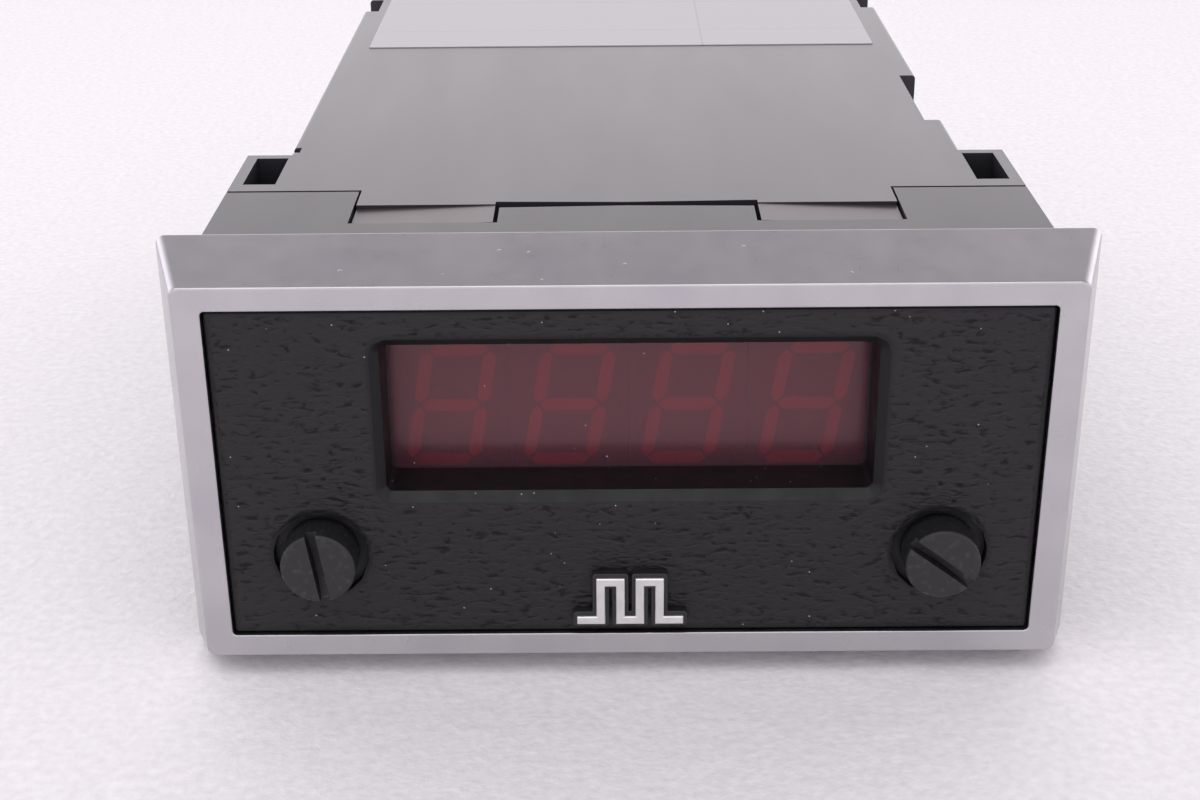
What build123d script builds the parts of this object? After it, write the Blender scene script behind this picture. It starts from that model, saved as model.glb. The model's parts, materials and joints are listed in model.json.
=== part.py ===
from build123d import *
import os
from math import radians, tan

os.makedirs("parts", exist_ok=True)

# A panel-mounted frequency counter for the standard 92 x 45 mm panel cut-out. Millimetres; X to the
# right, Y from the front towards the back, Z up. The origin is under the middle of the whole object.

# ---------------------------------------------------------------- driving dimensions
BEZEL_W, BEZEL_H = 98.0, 48.6       # at the bezel's back, where it meets the panel
RIM_W, RIM_H = 92.4, 43.0           # at the bezel's front rim
RIM_CHAMFER = 0.2
BEZEL_DEPTH = 8.4
BEZEL_CORNER_R = 1.0
LIP_DEPTH = 5.0                     # how far back the bezel's front opening keeps its size
OPENING_W, OPENING_H = 86.5, 37.9
OPENING_R = 0.5
HOUSING_SLACK = 0.05                # all round, between the bezel and the housing

HOUSING_W, HOUSING_H = 91.0, 44.26  # passes through the panel cut-out
CASE_W, CASE_H = 80.8, 44.26
WALL = 2.2
SEAM = 28.7                         # depth of the housing's back edge near the sides
CENTRE_SEAM, CENTRE_SEAM_MIDDLE = 22.7, 23.1   # the same between the slots: beside them, and halfway
TONGUE_IN, TONGUE_OUT = 14.6, 30.1  # sides of the case's tongues, from the centre
TONGUE_FRONT = 18.1
SLOT_FRONT, SLOT_IN, SLOT_OUT = 17.7, 14.1, 30.35   # the housing's slots that take them
TONGUE_STEP = 23.8                  # in front of this the tongue's tip slopes away
TONGUE_DROP_IN, TONGUE_DROP_OUT = 0.1, 0.5   # how far, at the tongue's inner and outer edges
GAP = 0.45                          # seam between housing and case
CASE_BACK = 139.6
CASE_EDGE_R = 0.5                   # long edges of case and rear cover
LENGTH = 147.6                      # screw heads to terminal blocks

POCKET_FRONT, POCKET_BACK = 31.6, 41.7   # clip pockets on the case's sides
POCKET_W = 3.75

PANEL_FACE = 0.4                    # front panel, set back from the rim
PANEL_T = 2.2
PANEL_SLACK = 0.15                  # all round, inside the bezel
PANEL_EDGE = 0.25                   # chamfer round its face
PANEL_WALL = 1.2
WINDOW_W, WINDOW_H = 51.3, 16.7     # straight tunnel in front of the filter
WINDOW_UP = 6.3                     # its centre above mid-height
WINDOW_CORNER_R = 0.8
WINDOW_CHAMFER = 1.0
TUNNEL_WALL = 1.2
FILTER_FRONT, FILTER_T = 6.8, 1.0

SCREW_X, SCREW_UP = 33.0, -9.3      # front panel screws
SCREW_HEAD_R, SCREW_R = 4.0, 1.95
SCREW_FRONT, SCREW_SEAT, SCREW_TIP = -2.6, 1.55, 11.3
SCREW_EDGE_R = 0.35
SLOT_W, SLOT_DEPTH, SLOT_CUTTER_R = 1.15, 1.8, 10.0
RECESS_R, RECESS_FLOOR = 5.05, 1.6  # round recess behind the head
BOSS_R, BOSS_BACK = 6.2, 3.4
GROOVE_R = 1.55                     # screw's groove for its clip
CLIP_FRONT, CLIP_T, CLIP_R = 6.6, 0.6, 3.6
CLIP_MOUTH_W = 2.2
FIT = 0.05                          # radial clearance of the running fits

BOARD_T = 1.6
DISPLAY_BOARD = 16.0                # depth of the display board's front
DIGIT_PITCH, DIGIT_W, DIGIT_H, DIGIT_T = 12.7, 12.6, 18.6, 8.0
DIGIT_UP = 5.0
BOARD_TOP = -14.0                   # main board's upper face, from mid-height
BOARD_FRONT, BOARD_BACK = 18.2, 138.0
PIN_PITCH = 2.54

RIM_Y = SCREW_FRONT * -1 - LENGTH / 2    # the rim's place along Y
MID_Z = BEZEL_H / 2


# ---------------------------------------------------------------- drawing aids
# Depths run back from the bezel's rim, heights run up from the object's mid-height.
def facing(depth):
    """Drawing plane seen from the front: X right, heights up. Extrudes towards the front."""
    return Plane(origin=(0, RIM_Y + depth, MID_Z), x_dir=(1, 0, 0), z_dir=(0, -1, 0))


def level(height):
    """Horizontal drawing plane: X right, depths back. Extrudes upwards."""
    return Plane(origin=(0, RIM_Y, MID_Z + height))


def block(x, depth, height, mode=Mode.ADD):
    """A box between pairs of limits."""
    middle = (sum(x) / 2, RIM_Y + sum(depth) / 2, MID_Z + sum(height) / 2)
    with Locations(middle):
        Box(x[1] - x[0], depth[1] - depth[0], height[1] - height[0], mode=mode)


def rod(x, height, depth, radius, mode=Mode.ADD):
    """A cylinder along Y."""
    middle = (x, RIM_Y + sum(depth) / 2, MID_Z + height)
    with Locations(Location(middle, (90, 0, 0))):
        Cylinder(radius, depth[1] - depth[0], mode=mode)


def post(x, depth, height, radius, mode=Mode.ADD):
    """A cylinder along Z."""
    with Locations((x, RIM_Y + depth, MID_Z + sum(height) / 2)):
        Cylinder(radius, height[1] - height[0], mode=mode)


def both(span):
    """The same limits on the left and on the right of the centre."""
    return [span, (-span[1], -span[0])]


def mirrored(right):
    """A closed outline from the points of its right half; the first one is on the centre line."""
    return right + [(-x, depth) for x, depth in reversed(right[1:])]


def save(builder, name):
    builder.part.label = name
    export_step(builder.part, f"parts/{name}.step")


# ---------------------------------------------------------------- bezel
with BuildPart() as bezel_frame:
    for depth, width, height in (
        (0, RIM_W - 2 * RIM_CHAMFER, RIM_H - 2 * RIM_CHAMFER),
        (RIM_CHAMFER, RIM_W, RIM_H),
        (BEZEL_DEPTH, BEZEL_W, BEZEL_H),
    ):
        with BuildSketch(facing(depth)):
            RectangleRounded(width, height, BEZEL_CORNER_R)
    loft(ruled=True)
    with BuildSketch(facing(LIP_DEPTH)):
        RectangleRounded(OPENING_W, OPENING_H, OPENING_R)
    extrude(amount=LIP_DEPTH, mode=Mode.SUBTRACT)
    with BuildSketch(facing(BEZEL_DEPTH)):
        Rectangle(HOUSING_W + 2 * HOUSING_SLACK, HOUSING_H + 2 * HOUSING_SLACK)
    extrude(amount=BEZEL_DEPTH - LIP_DEPTH, mode=Mode.SUBTRACT)
save(bezel_frame, "bezel_frame")

# ---------------------------------------------------------------- front panel
panel_w, panel_h = OPENING_W - 2 * PANEL_SLACK, OPENING_H - 2 * PANEL_SLACK
panel_back = PANEL_FACE + PANEL_T
tunnel_w, tunnel_h = WINDOW_W + 2 * TUNNEL_WALL, WINDOW_H + 2 * TUNNEL_WALL

with BuildPart() as front_panel:
    with BuildSketch(facing(LIP_DEPTH)):
        RectangleRounded(panel_w, panel_h, OPENING_R)
    extrude(amount=LIP_DEPTH - PANEL_FACE)
    face_edges = front_panel.faces().sort_by(Axis.Y)[0].edges()
    chamfer(face_edges, PANEL_EDGE)
    with BuildSketch(facing(LIP_DEPTH)):
        Rectangle(panel_w - 2 * PANEL_WALL, panel_h - 2 * PANEL_WALL)
    extrude(amount=LIP_DEPTH - panel_back, mode=Mode.SUBTRACT)
    with BuildSketch(facing(FILTER_FRONT)):
        with Locations((0, WINDOW_UP)):
            Rectangle(tunnel_w, tunnel_h)
    extrude(amount=FILTER_FRONT - panel_back)
    for side in (-1, 1):
        rod(side * SCREW_X, SCREW_UP, (panel_back, BOSS_BACK), BOSS_R)
        rod(side * SCREW_X, SCREW_UP, (PANEL_FACE, RECESS_FLOOR), RECESS_R, Mode.SUBTRACT)
        rod(side * SCREW_X, SCREW_UP, (RECESS_FLOOR, BOSS_BACK), SCREW_R + FIT, Mode.SUBTRACT)
    with BuildSketch(facing(FILTER_FRONT)):
        with Locations((0, WINDOW_UP)):
            RectangleRounded(WINDOW_W, WINDOW_H, WINDOW_CORNER_R)
    extrude(amount=FILTER_FRONT - PANEL_FACE, mode=Mode.SUBTRACT)
    mouth = front_panel.faces().filter_by(Axis.Y).sort_by(Axis.Y)[0].inner_wires().sort_by(Wire.length)[-1]
    chamfer(mouth.edges(), WINDOW_CHAMFER)
save(front_panel, "front_panel")

with BuildPart() as display_window:
    with BuildSketch(facing(FILTER_FRONT + FILTER_T)):
        with Locations((0, WINDOW_UP)):
            Rectangle(tunnel_w, tunnel_h)
    extrude(amount=FILTER_T)
save(display_window, "display_window")

# Badge: a small square-wave mark, raised on its own base.
BADGE_UP, BADGE_PITCH, BADGE_BAR, BADGE_HALF = -14.4, 2.1, 0.95, 2.8
BADGE_BASE_FRONT, BADGE_FRONT = -0.7, -1.1
BADGE_MARGIN, BADGE_EDGE = 0.42, 0.12


def square_wave():
    """Two pulses: uprights joined alternately at the top and the bottom, with a foot at each end."""
    for step in range(-2, 2):
        with Locations(((step + 0.5) * BADGE_PITCH, BADGE_UP)):
            Rectangle(BADGE_BAR, 2 * BADGE_HALF)
    end = BADGE_HALF - BADGE_BAR / 2
    for step in range(-2, 3):
        with Locations((step * BADGE_PITCH, BADGE_UP + (end if step % 2 else -end))):
            Rectangle(BADGE_PITCH + BADGE_BAR, BADGE_BAR)


with BuildPart() as badge_base:
    with BuildSketch(facing(PANEL_FACE)):
        square_wave()
        offset(amount=BADGE_MARGIN, kind=Kind.ARC)
    extrude(amount=PANEL_FACE - BADGE_BASE_FRONT)
save(badge_base, "badge_base")

with BuildPart() as badge_mark:
    with BuildSketch(facing(BADGE_BASE_FRONT)):
        square_wave()
    extrude(amount=BADGE_BASE_FRONT - BADGE_FRONT)
    chamfer(badge_mark.faces().sort_by(Axis.Y)[0].edges(), BADGE_EDGE)
save(badge_mark, "badge_mark")

# Front panel screws: coin-slot head, plain shank as wide as its thread, groove for the clip.
SLOT_TURN = {"left": 8.4, "right": 53.0}    # degrees from upright, each screw as it was left
for side_name, side in (("left", -1), ("right", 1)):
    with BuildPart() as panel_screw:
        rod(side * SCREW_X, SCREW_UP, (SCREW_SEAT, SCREW_TIP), SCREW_R)
        rod(side * SCREW_X, SCREW_UP, (SCREW_FRONT, SCREW_SEAT), SCREW_HEAD_R)
        head_edge = panel_screw.faces().sort_by(Axis.Y)[0].edges()
        fillet(head_edge, SCREW_EDGE_R)
        turned = Location((side * SCREW_X, SCREW_UP, 0), (0, 0, SLOT_TURN[side_name]))
        cutter = Location((0, 0, SLOT_CUTTER_R - SLOT_DEPTH), (0, 90, 0))
        with Locations(facing(SCREW_FRONT) * turned * cutter):
            Cylinder(SLOT_CUTTER_R, SLOT_W, mode=Mode.SUBTRACT)
        with BuildSketch(facing(CLIP_FRONT + CLIP_T)):
            with Locations((side * SCREW_X, SCREW_UP)):
                Circle(CLIP_R)
                Circle(GROOVE_R, mode=Mode.SUBTRACT)
        extrude(amount=CLIP_T, mode=Mode.SUBTRACT)
    save(panel_screw, f"panel_screw_{side_name}")

    with BuildPart() as retaining_clip:
        with BuildSketch(facing(CLIP_FRONT + CLIP_T - FIT / 2)):
            with Locations((side * SCREW_X, SCREW_UP)):
                Circle(CLIP_R)
                Circle(GROOVE_R + FIT, mode=Mode.SUBTRACT)
            with Locations((side * SCREW_X, SCREW_UP - CLIP_R)):
                Rectangle(CLIP_MOUTH_W, 2 * (CLIP_R - 1), mode=Mode.SUBTRACT)
        extrude(amount=CLIP_T - FIT)
    save(retaining_clip, f"retaining_clip_{side_name}")

# ---------------------------------------------------------------- front housing
CHEEK_FRONT, CHEEK_BACK = 8.5, 10.5     # wall across the housing, open behind the window
CHEEK_OPENING_W, CHEEK_OPENING_H = 55.0, 35.5
MOUTH_W, MOUTH_H = 82.0, 33.0           # opening in the housing's front wall
BOSS_END = 14.0                         # of the two that hold the inserts
INSERT_R, INSERT_BOSS_R = 3.0, 4.4
INSERT_FRONT, INSERT_BACK = 8.6, 13.9
PILLAR_R, PILLAR_HOLE_R = 3.0, 1.3
OUTSIDE = 25.0                          # half height of the cuts, clear of the housing
DISPLAY_SCREWS = [(x, z) for x in (-39, 39) for z in (-16, 16)]
slots = mirrored([(0, CENTRE_SEAM_MIDDLE), (SLOT_IN, CENTRE_SEAM), (SLOT_IN, SLOT_FRONT),
                  (SLOT_OUT, SLOT_FRONT), (SLOT_OUT, SEAM)])

with BuildPart() as front_housing:
    with BuildSketch(facing(SEAM)):
        Rectangle(HOUSING_W, HOUSING_H)
    extrude(amount=SEAM - LIP_DEPTH)
    with BuildSketch(facing(SEAM)):
        Rectangle(HOUSING_W - 2 * WALL, HOUSING_H - 2 * WALL)
    extrude(amount=SEAM - LIP_DEPTH - WALL, mode=Mode.SUBTRACT)
    with BuildSketch(facing(LIP_DEPTH + WALL)):
        Rectangle(MOUTH_W, MOUTH_H)
    extrude(amount=WALL, mode=Mode.SUBTRACT)
    with BuildSketch(facing(CHEEK_BACK)):
        Rectangle(HOUSING_W - WALL, HOUSING_H - WALL)
        Rectangle(CHEEK_OPENING_W, CHEEK_OPENING_H, mode=Mode.SUBTRACT)
    extrude(amount=CHEEK_BACK - CHEEK_FRONT)
    for x, z in DISPLAY_SCREWS:
        rod(x, z, (CHEEK_BACK, DISPLAY_BOARD), PILLAR_R)
        rod(x, z, (CHEEK_BACK + 1, DISPLAY_BOARD), PILLAR_HOLE_R, Mode.SUBTRACT)
    for side in (-1, 1):
        rod(side * SCREW_X, SCREW_UP, (CHEEK_FRONT, BOSS_END), INSERT_BOSS_R)
        rod(side * SCREW_X, SCREW_UP, (CHEEK_FRONT, BOSS_END), INSERT_R, Mode.SUBTRACT)
    slot_floor = HOUSING_H / 2 - 2 * WALL
    for bottom in (slot_floor, -OUTSIDE):
        with BuildSketch(level(bottom)):
            Polygon(*slots, align=None)
        extrude(amount=OUTSIDE - slot_floor, mode=Mode.SUBTRACT)
save(front_housing, "front_housing")

with BuildPart() as threaded_inserts:
    for side in (-1, 1):
        rod(side * SCREW_X, SCREW_UP, (INSERT_FRONT, INSERT_BACK), INSERT_R)
        rod(side * SCREW_X, SCREW_UP, (INSERT_FRONT, INSERT_BACK), SCREW_R + FIT, Mode.SUBTRACT)
save(threaded_inserts, "threaded_inserts")

# ---------------------------------------------------------------- rear case
case_front = SEAM + GAP
half_w, half_h = CASE_W / 2, CASE_H / 2
inner_x, inner_z = half_w - WALL, half_h - WALL
SHOULDER_T = 1.3                        # wall behind each clip pocket
CENTRE_EDGE, CENTRE_EDGE_MIDDLE = 24.7, 24.3    # the case's front edge between the tongues
tongues = mirrored([(0, CENTRE_EDGE_MIDDLE), (TONGUE_IN, CENTRE_EDGE), (TONGUE_IN, TONGUE_FRONT),
                    (TONGUE_OUT, TONGUE_FRONT), (TONGUE_OUT, case_front)])
LATCH_FRONT, LATCH_BACK = 120.0, 128.0
LATCH_TOP, LATCH_BOTTOM = 11.5, -15.8   # inner ends of the latch windows
RAIL_FRONT, RAIL_BACK, RAIL_X = 46.0, 116.0, 36.8
RAIL_SLACK = 0.1
RAIL_BOTTOM, RAIL_TOP = -17.4, -12.2
ACCESS_FRONT, ACCESS_BACK, ACCESS_BOTTOM = 56.0, 78.0, 12.0
NICK_FRONT, NICK_BACK, NICK_BOTTOM, NICK_DEPTH = 44.0, 46.0, 20.6, 1.0
LABEL_HALF_W, LABEL_FRONT, LABEL_BACK, LABEL_T = 36.9, 96.0, 134.0, 0.12

with BuildPart() as rear_case:
    block((-half_w, half_w), (case_front, CASE_BACK), (-half_h, half_h))
    fillet(rear_case.edges().filter_by(Axis.Y), CASE_EDGE_R)
    for x in both((half_w - 1, HOUSING_W / 2)):
        block(x, (case_front, POCKET_BACK + SHOULDER_T), (-half_h, half_h))
    for x in both((half_w, half_w + POCKET_W)):
        block(x, (POCKET_FRONT, POCKET_BACK), (-half_h, half_h), Mode.SUBTRACT)
    for bottom in (inner_z, -half_h):
        with BuildSketch(level(bottom)):
            Polygon(*tongues, align=None)
        extrude(amount=WALL)
    for side, up in ((-1, -1), (-1, 1), (1, -1), (1, 1)):
        slope = [(TONGUE_IN, half_h - TONGUE_DROP_IN), (TONGUE_OUT, half_h - TONGUE_DROP_OUT),
                 (TONGUE_OUT, OUTSIDE), (TONGUE_IN, OUTSIDE)]
        with BuildSketch(facing(TONGUE_STEP)):
            Polygon(*[(side * x, up * z) for x, z in slope], align=None)
        extrude(amount=TONGUE_STEP - TONGUE_FRONT, mode=Mode.SUBTRACT)
    block((-inner_x, inner_x), (case_front, CASE_BACK), (-inner_z, inner_z), Mode.SUBTRACT)
    # board rails, one below and one above the board's edge on each side
    for x in both((RAIL_X, inner_x)):
        block(x, (RAIL_FRONT, RAIL_BACK), (RAIL_BOTTOM, BOARD_TOP - BOARD_T - RAIL_SLACK))
        block(x, (RAIL_FRONT, RAIL_BACK), (BOARD_TOP + RAIL_SLACK, RAIL_TOP))
    # latch windows at the back corners, an access notch on the right, a small mould notch on the left
    for x in both((inner_x, half_w)):
        for height in ((LATCH_TOP, half_h), (-half_h, LATCH_BOTTOM)):
            block(x, (LATCH_FRONT, LATCH_BACK), height, Mode.SUBTRACT)
    block((inner_x, half_w), (ACCESS_FRONT, ACCESS_BACK), (ACCESS_BOTTOM, half_h), Mode.SUBTRACT)
    block((-half_w, NICK_DEPTH - half_w), (NICK_FRONT, NICK_BACK), (NICK_BOTTOM, half_h), Mode.SUBTRACT)
save(rear_case, "rear_case")

with BuildPart() as rating_label:
    block((-LABEL_HALF_W, LABEL_HALF_W), (LABEL_FRONT, LABEL_BACK), (half_h, half_h + LABEL_T))
save(rating_label, "rating_label")

# ---------------------------------------------------------------- rear cover and terminals
COVER_BACK = CASE_BACK + 2.4
COVER_GAP = 0.1
VENT_PITCH, VENT_W, VENT_BOTTOM, VENT_TOP, VENT_REACH = 4, 1.6, 4.0, 17.0, 30
LATCH_ARM_X, LATCH_BARB_X = 36.5, 39.6
LATCH_ARMS = ((12.0, 19.5), (-19.6, -16.2))    # heights of the upper and lower arms
BLOCK_FRONT, BLOCK_BACK = 127.0, LENGTH + SCREW_FRONT
BLOCK_H, BLOCK_SLACK = 13.0, 0.4
ENTRY_UP, CLAMP_UP = BOARD_TOP + 3.6, BOARD_TOP + 9.2
ENTRY_W, ENTRY_H, ENTRY_DEPTH = 3.2, 3.4, 9.0
WELL_R, WELL_DEPTH, CLAMP_SCREW_R, CLAMP_SCREW_IN = 1.9, 8.0, 1.8, 0.6
CLAMP_SLOT_W, CLAMP_SLOT_DEPTH = 0.6, 0.9
TERMINALS = {"power": (-24.5, 7.62, 3), "signal": (15.3, 5.08, 8)}    # centre, pitch, ways


def ways(centre, pitch, count):
    """The middle of each terminal, across the block."""
    return [centre + (number - (count - 1) / 2) * pitch for number in range(count)]


with BuildPart() as rear_cover:
    plate = (CASE_BACK + COVER_GAP, COVER_BACK)
    block((-half_w, half_w), plate, (-half_h, half_h))
    fillet(rear_cover.edges().filter_by(Axis.Y), CASE_EDGE_R)
    for centre, pitch, count in TERMINALS.values():
        half = count * pitch / 2 + BLOCK_SLACK
        block((centre - half, centre + half), plate,
              (BOARD_TOP - BLOCK_SLACK, BOARD_TOP + BLOCK_H + BLOCK_SLACK), Mode.SUBTRACT)
    for x in range(-VENT_REACH, VENT_REACH + 1, VENT_PITCH):
        block((x - VENT_W / 2, x + VENT_W / 2), plate, (VENT_BOTTOM, VENT_TOP), Mode.SUBTRACT)
    for height in LATCH_ARMS:
        for x in both((LATCH_ARM_X, inner_x - COVER_GAP)):
            block(x, (LATCH_FRONT + 1, CASE_BACK + COVER_GAP), height)
        for x in both((inner_x - COVER_GAP, LATCH_BARB_X)):
            block(x, (LATCH_FRONT + 1.5, LATCH_BACK - 1), height)
save(rear_cover, "rear_cover")

for use, (centre, pitch, count) in TERMINALS.items():
    half = count * pitch / 2
    with BuildPart() as terminal_block:
        block((centre - half, centre + half), (BLOCK_FRONT, BLOCK_BACK), (BOARD_TOP, BOARD_TOP + BLOCK_H))
        for x in ways(centre, pitch, count):
            block((x - ENTRY_W / 2, x + ENTRY_W / 2), (BLOCK_BACK - ENTRY_DEPTH, BLOCK_BACK),
                  (ENTRY_UP - ENTRY_H / 2, ENTRY_UP + ENTRY_H / 2), Mode.SUBTRACT)
            rod(x, CLAMP_UP, (BLOCK_BACK - WELL_DEPTH, BLOCK_BACK), WELL_R, Mode.SUBTRACT)
    save(terminal_block, f"terminal_block_{use}")

with BuildPart() as terminal_screws:
    head = BLOCK_BACK - CLAMP_SCREW_IN
    for layout in TERMINALS.values():
        for x in ways(*layout):
            rod(x, CLAMP_UP, (BLOCK_BACK - WELL_DEPTH, head), CLAMP_SCREW_R)
            block((x - WELL_R, x + WELL_R), (head - CLAMP_SLOT_DEPTH, head),
                  (CLAMP_UP - CLAMP_SLOT_W / 2, CLAMP_UP + CLAMP_SLOT_W / 2), Mode.SUBTRACT)
save(terminal_screws, "terminal_screws")

# ---------------------------------------------------------------- display
DIGIT_FRONT = DISPLAY_BOARD - DIGIT_T
SLANT = tan(radians(10))
STROKE, HALF_W, HALF_H = 1.4, 3.35, 6.45     # of the seven bars, to their centre lines
BAR_GAP = 0.2
POINT_X, POINT_UP, POINT_R = HALF_W + 0.9, -HALF_H - 0.1, 0.75
PIPE_T = 0.5
DISPLAY_W, DISPLAY_H = 84.0, 38.8


def bar(centre_x, centre_z, run_x, run_z):
    """One bar with pointed ends, leaning with the figure."""
    half = STROKE / 2
    tip = max(run_x, run_z) / 2 - BAR_GAP
    flat = [(-tip, 0), (half - tip, half), (tip - half, half),
            (tip, 0), (tip - half, -half), (half - tip, -half)]
    points = flat if run_x > run_z else [(-z, x) for x, z in flat]
    corners = [(centre_x + x + SLANT * (centre_z + z), centre_z + z) for x, z in points]
    Polygon(*corners, align=None)


def figure(digit_x):
    """The seven bars and the point of one figure, in front view."""
    with Locations((digit_x, DIGIT_UP)):
        with BuildSketch(mode=Mode.PRIVATE) as outline:
            for height in (-HALF_H, 0, HALF_H):
                bar(0, height, 2 * HALF_W, 0)
            for side in (-1, 1):
                for height in (-HALF_H / 2, HALF_H / 2):
                    bar(side * HALF_W, height, 0, HALF_H)
            with Locations((POINT_X, POINT_UP)):
                Circle(POINT_R)
        add(outline.sketch)


with BuildPart() as display_board:
    with BuildSketch(facing(DISPLAY_BOARD + BOARD_T)):
        Rectangle(DISPLAY_W, DISPLAY_H)
        with Locations(*DISPLAY_SCREWS):
            Circle(PILLAR_HOLE_R + 0.1, mode=Mode.SUBTRACT)
    extrude(amount=BOARD_T)
save(display_board, "display_board")

board_back = DISPLAY_BOARD + BOARD_T
BOARD_SCREW_HEAD_R, BOARD_SCREW_HEAD_T = 2.4, 1.8
with BuildPart() as display_screws:
    for x, z in DISPLAY_SCREWS:
        rod(x, z, (CHEEK_BACK + 2, board_back), PILLAR_HOLE_R - FIT)
        rod(x, z, (board_back, board_back + BOARD_SCREW_HEAD_T), BOARD_SCREW_HEAD_R)
save(display_screws, "display_screws")

for number in range(4):
    digit_x = (number - 1.5) * DIGIT_PITCH
    with BuildPart() as digit:
        block((digit_x - DIGIT_W / 2, digit_x + DIGIT_W / 2), (DIGIT_FRONT, DISPLAY_BOARD),
              (DIGIT_UP - DIGIT_H / 2, DIGIT_UP + DIGIT_H / 2))
        with BuildSketch(facing(DIGIT_FRONT)):
            figure(digit_x)
        extrude(amount=-PIPE_T, mode=Mode.SUBTRACT)
    save(digit, f"digit_{number + 1}")

    with BuildPart() as segments:
        with BuildSketch(facing(DIGIT_FRONT)):
            figure(digit_x)
        extrude(amount=-PIPE_T)
    save(segments, f"digit_{number + 1}_segments")


LEG_W, LEG_T, LEG_UP = 0.7, 0.7, 2.2            # package legs, up to where they enter the body
BODY_IN, BODY_UP, BODY_TOP = 0.6, 0.6, 4.0      # package body, inside and above its legs' ends


def dual_in_line(x, depth, pins, row, base):
    """A circuit package with its legs; base is the face that it stands on, rows run along Y."""
    half, length = row / 2, pins / 2 * PIN_PITCH
    block((x - half + BODY_IN, x + half - BODY_IN), (depth - length / 2, depth + length / 2),
          (base + BODY_UP, base + BODY_TOP))
    for leg in ways(depth, PIN_PITCH, pins // 2):
        for inner, outer in both((half - LEG_T, half)):
            block((x + inner, x + outer), (leg - LEG_W / 2, leg + LEG_W / 2), (base, base + LEG_UP))


DRIVER_HALF_W, DRIVER_T, DRIVER_HEIGHTS = 10.2, 3.8, (2.0, 8.4)
with BuildPart() as driver_circuits:
    for x in (-22, 12):
        block((x - DRIVER_HALF_W, x + DRIVER_HALF_W), (board_back, board_back + DRIVER_T), DRIVER_HEIGHTS)
save(driver_circuits, "driver_circuits")

# Setting switches and brightness trimmer, reached with the front panel off.
SWITCH_X, SWITCH_UP, SWITCH_FRONT = -10.0, -9.6, 10.6
SWITCH_HALF_W, SWITCH_HALF_H = 10.7, 4.8
SWITCH_TRAVEL = 1.2
TRACK_HALF_W, TRACK_HALF_H, TRACK_DEPTH = 0.65, 1.4, 1.8
SLIDER_OUT = 0.7
with BuildPart() as dip_switch_body:
    block((SWITCH_X - SWITCH_HALF_W, SWITCH_X + SWITCH_HALF_W), (SWITCH_FRONT, DISPLAY_BOARD),
          (SWITCH_UP - SWITCH_HALF_H, SWITCH_UP + SWITCH_HALF_H))
    for x in ways(SWITCH_X, PIN_PITCH, 8):
        block((x - TRACK_HALF_W, x + TRACK_HALF_W), (SWITCH_FRONT, SWITCH_FRONT + TRACK_DEPTH),
              (SWITCH_UP - TRACK_HALF_H, SWITCH_UP + TRACK_HALF_H), Mode.SUBTRACT)
save(dip_switch_body, "dip_switch_body")

for number, x in enumerate(ways(SWITCH_X, PIN_PITCH, 8), start=1):
    with BuildPart() as dip_slider:
        slider_half, reach = TRACK_HALF_W - FIT, TRACK_HALF_H - FIT
        block((x - slider_half, x + slider_half),
              (SWITCH_FRONT - SLIDER_OUT, SWITCH_FRONT + TRACK_DEPTH - 2 * FIT),
              (SWITCH_UP - reach, SWITCH_UP + reach - SWITCH_TRAVEL))
    save(dip_slider, f"dip_slider_{number}")

TRIMMER_X, TRIMMER_UP, TRIMMER_FRONT = 14.0, -9.6, 11.2
TRIMMER_HALF, ROTOR_R, ROTOR_OUT, ROTOR_SEAT = 4.75, 2.5, 0.3, 1.6
ROTOR_SLOT_HALF_W, ROTOR_SLOT_HALF_H, ROTOR_SLOT_DEPTH = 0.4, 1.9, 0.8
with BuildPart() as trimmer_body:
    block((TRIMMER_X - TRIMMER_HALF, TRIMMER_X + TRIMMER_HALF), (TRIMMER_FRONT, DISPLAY_BOARD),
          (TRIMMER_UP - TRIMMER_HALF, TRIMMER_UP + TRIMMER_HALF))
    rod(TRIMMER_X, TRIMMER_UP, (TRIMMER_FRONT, TRIMMER_FRONT + ROTOR_SEAT), ROTOR_R + FIT, Mode.SUBTRACT)
save(trimmer_body, "trimmer_body")

with BuildPart() as trimmer_rotor:
    rotor_front = TRIMMER_FRONT - ROTOR_OUT
    rod(TRIMMER_X, TRIMMER_UP, (rotor_front, TRIMMER_FRONT + ROTOR_SEAT - FIT), ROTOR_R)
    block((TRIMMER_X - ROTOR_SLOT_HALF_W, TRIMMER_X + ROTOR_SLOT_HALF_W),
          (rotor_front, rotor_front + ROTOR_SLOT_DEPTH),
          (TRIMMER_UP - ROTOR_SLOT_HALF_H, TRIMMER_UP + ROTOR_SLOT_HALF_H), Mode.SUBTRACT)
save(trimmer_rotor, "trimmer_rotor")

# ---------------------------------------------------------------- main board
BOARD_HALF_W = 38.0
NOTCH_X, NOTCH_DEPTH = 35.8, 2.0        # room for the display board's lower screws
with BuildPart() as main_board:
    block((-BOARD_HALF_W, BOARD_HALF_W), (BOARD_FRONT, BOARD_BACK), (BOARD_TOP - BOARD_T, BOARD_TOP))
    for x in both((NOTCH_X, BOARD_HALF_W)):
        block(x, (BOARD_FRONT, BOARD_FRONT + NOTCH_DEPTH), (BOARD_TOP - BOARD_T, BOARD_TOP), Mode.SUBTRACT)
save(main_board, "main_board")

CONNECTOR_WAYS, PIN_HALF = 20, 0.32
with BuildPart() as board_connector:
    half, pin_up = CONNECTOR_WAYS * PIN_PITCH / 2, BOARD_TOP + PIN_PITCH / 2
    block((-half, half), (BOARD_FRONT, BOARD_FRONT + PIN_PITCH), (BOARD_TOP, BOARD_TOP + PIN_PITCH))
    for x in ways(0, PIN_PITCH, CONNECTOR_WAYS):
        block((x - PIN_HALF, x + PIN_HALF), (board_back, BOARD_FRONT), (pin_up - PIN_HALF, pin_up + PIN_HALF))
save(board_connector, "board_connector")

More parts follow.
